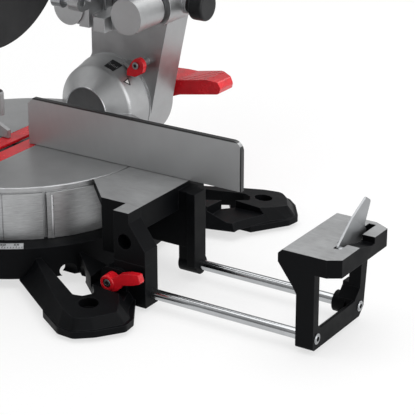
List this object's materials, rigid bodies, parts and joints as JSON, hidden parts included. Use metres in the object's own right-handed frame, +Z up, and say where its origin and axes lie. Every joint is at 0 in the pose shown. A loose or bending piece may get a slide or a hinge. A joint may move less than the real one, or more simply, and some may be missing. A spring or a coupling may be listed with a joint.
{
  "type": "sliding mitre saw",
  "caption": "Sliding mitre saw: round turntable on a looped-foot base, tilting arm with twin slide rails, sprung motor head, split fence, end frames that pull out on rods.",
  "frame": {"origin": "on the bench under the mitre axis, at the centre of the four bench-bolt holes", "axes": "+X to the saw's right along the fence, +Y to the back along the slide rails, +Z up the mitre axis"},
  "size_m": [0.845, 0.851, 0.4813],
  "materials": {
    "black_casting": "satin",
    "silver_casting": "satin",
    "fence_aluminium": "brushed",
    "steel": "satin",
    "chrome_rod": "polished",
    "red_plastic": "gloss",
    "black_plastic": "matt",
    "rubber": "matt",
    "iron": "matt"
  },
  "bodies": {
    "base": {"base_casting": "black_casting", "rubber_feet": "rubber", "mitre_scale": "steel", "mitre_pivot_bolt": "steel", "fence_right": "fence_aluminium", "fence_left_lower": "fence_aluminium", "fence_bolts": "steel"},
    "fence_slider": {"fence_left_slider": "fence_aluminium"},
    "fence_knob": {"fence_lock_knob": "red_plastic"},
    "turntable": {"turntable_casting": "silver_casting", "kerf_plates": "red_plastic", "bevel_scale": "black_plastic", "bevel_pivot_bolt": "steel", "mitre_pointer": "red_plastic"},
    "mitre_lock": {"mitre_lock_knob": "black_plastic", "mitre_lock_shaft": "steel"},
    "detent": {"detent_lever": "red_plastic"},
    "bevel": {"bevel_arm": "silver_casting", "rail_bushes": "black_plastic", "bevel_stop_screw": "chrome_rod"},
    "bevel_lock": {"bevel_lock_lever": "red_plastic"},
    "bevel_stop": {"bevel_stop_lever": "red_plastic"},
    "rail_lock": {"rail_lock_knob": "black_plastic"},
    "slide": {"slide_rails": "chrome_rod", "head_carriage": "silver_casting", "rail_end_piece": "black_plastic", "chop_pivot_pin": "steel", "return_spring": "steel"},
    "lock_pin": {"head_lock_pin": "steel"},
    "head": {"head_casting": "silver_casting", "upper_guard": "silver_casting", "motor_housing": "black_plastic", "motor_end_cover": "black_plastic", "brush_caps": "black_plastic", "motor_stator": "iron", "rear_bearing": "steel", "cord_inlet": "rubber", "handle_grip": "black_plastic", "carry_handle": "black_plastic", "depth_stop_screw": "steel"},
    "arbor": {"arbor_spindle": "steel", "spindle_gear": "steel", "saw_blade": "steel", "blade_flanges": "steel", "blade_bolt": "steel"},
    "armature": {"motor_armature": "iron"},
    "guard": {"lower_guard": "black_plastic"},
    "trigger": {"trigger": "red_plastic"},
    "lock_off": {"lock_off_button": "red_plastic"},
    "spindle_lock": {"spindle_lock_button": "black_plastic"},
    "extension_left": {"end_frame_left": "black_casting", "extension_rods_left": "chrome_rod"},
    "stop_left": {"end_stop_left": "steel"},
    "clamp_left": {"clamp_lever_left": "red_plastic", "clamp_screw_left": "chrome_rod"},
    "extension_right": {"end_frame_right": "black_casting", "extension_rods_right": "chrome_rod"},
    "stop_right": {"end_stop_right": "steel"},
    "clamp_right": {"clamp_lever_right": "red_plastic", "clamp_screw_right": "chrome_rod"}
  },
  "joints": [
    {"name": "mitre_turn", "type": "hinge", "parent": "base", "child": "turntable", "pos_m": [0, 0, 0.06], "axis": [0, 0, 1], "range_deg": [-47, 47]},
    {"name": "mitre_lock_turn", "type": "hinge", "parent": "turntable", "child": "mitre_lock", "pos_m": [0, -0.35, 0.037], "axis": [0, 1, 0], "range_deg": [-180, 90]},
    {"name": "detent_press", "type": "hinge", "parent": "turntable", "child": "detent", "pos_m": [0, -0.24, 0.071], "axis": [-1, 0, 0], "range_deg": [0, 2.5]},
    {"name": "fence_slide", "type": "slide", "parent": "base", "child": "fence_slider", "axis": [-1, 0, 0], "range_m": [0, 0.075]},
    {"name": "fence_knob_turn", "type": "hinge", "parent": "fence_slider", "child": "fence_knob", "pos_m": [-0.165, 0.01, 0.1125], "axis": [0, 1, 0], "range_deg": [-180, 180]},
    {"name": "bevel_tilt", "type": "hinge", "parent": "turntable", "child": "bevel", "pos_m": [0, 0.16, 0.095], "axis": [0, -1, 0], "range_deg": [-2, 47]},
    {"name": "bevel_lock_turn", "type": "hinge", "parent": "turntable", "child": "bevel_lock", "pos_m": [0, 0.21, 0.095], "axis": [0, -1, 0], "range_deg": [-25, 25]},
    {"name": "bevel_stop_turn", "type": "hinge", "parent": "bevel", "child": "bevel_stop", "pos_m": [0.0464, 0.14, 0.1459], "axis": [0, 1, 0], "range_deg": [-40, 40]},
    {"name": "rail_lock_turn", "type": "hinge", "parent": "bevel", "child": "rail_lock", "pos_m": [0.09, 0.182, 0.21], "axis": [1, 0, 0], "range_deg": [-90, 90]},
    {"name": "head_slide", "type": "slide", "parent": "bevel", "child": "slide", "axis": [0, -1, 0], "range_m": [0, 0.225]},
    {"name": "lock_pin_push", "type": "slide", "parent": "slide", "child": "lock_pin", "axis": [1, 0, 0], "range_m": [0, 0.008]},
    {"name": "head_chop", "type": "hinge", "parent": "slide", "child": "head", "pos_m": [0, 0.118, 0.25], "axis": [1, 0, 0], "range_deg": [0, 42], "stiffness_Nm_per_rad": 5, "springref_deg": -148.97},
    {"name": "blade_spin", "type": "hinge", "parent": "head", "child": "arbor", "pos_m": [0, -0.03778, 0.3176], "axis": [1, 0, 0], "continuous": true},
    {"name": "motor_spin", "type": "hinge", "parent": "head", "child": "armature", "pos_m": [0, -0.00581, 0.32919], "axis": [1, 0, 0], "continuous": true},
    {"name": "guard_swing", "type": "hinge", "parent": "head", "child": "guard", "pos_m": [0, -0.03778, 0.3176], "axis": [1, 0, 0], "range_deg": [0, 160]},
    {"name": "trigger_pull", "type": "slide", "parent": "head", "child": "trigger", "axis": [0, -0.7431, 0.6691], "range_m": [0, 0.005], "stiffness_N_per_m": 300, "springref_m": -0.004},
    {"name": "lock_off_push", "type": "slide", "parent": "head", "child": "lock_off", "axis": [-1, 0, 0], "range_m": [0, 0.004], "stiffness_N_per_m": 200, "springref_m": -0.003},
    {"name": "spindle_lock_push", "type": "slide", "parent": "head", "child": "spindle_lock", "axis": [0, 0.7431, -0.6691], "range_m": [0, 0.003], "stiffness_N_per_m": 300, "springref_m": -0.004},
    {"name": "extension_slide_right", "type": "slide", "parent": "base", "child": "extension_right", "axis": [1, 0, 0], "range_m": [-0.13, 0]},
    {"name": "stop_fold_right", "type": "hinge", "parent": "extension_right", "child": "stop_right", "pos_m": [0.406, -0.066, 0.09], "axis": [1, 0, 0], "range_deg": [-39, 40]},
    {"name": "clamp_turn_right", "type": "hinge", "parent": "base", "child": "clamp_right", "pos_m": [0.192, -0.11, 0.027], "axis": [0, 1, 0], "range_deg": [-30, 20]},
    {"name": "extension_slide_left", "type": "slide", "parent": "base", "child": "extension_left", "axis": [-1, 0, 0], "range_m": [-0.13, 0]},
    {"name": "stop_fold_left", "type": "hinge", "parent": "extension_left", "child": "stop_left", "pos_m": [-0.406, -0.066, 0.09], "axis": [1, 0, 0], "range_deg": [-39, 40]},
    {"name": "clamp_turn_left", "type": "hinge", "parent": "base", "child": "clamp_left", "pos_m": [-0.192, -0.11, 0.027], "axis": [0, -1, 0], "range_deg": [-30, 20]}
  ],
  "couplings": [
    {"joint": "motor_spin", "follows": "blade_spin", "ratio": -4.6667},
    {"joint": "guard_swing", "follows": "head_chop", "ratio": 3.8}
  ]
}
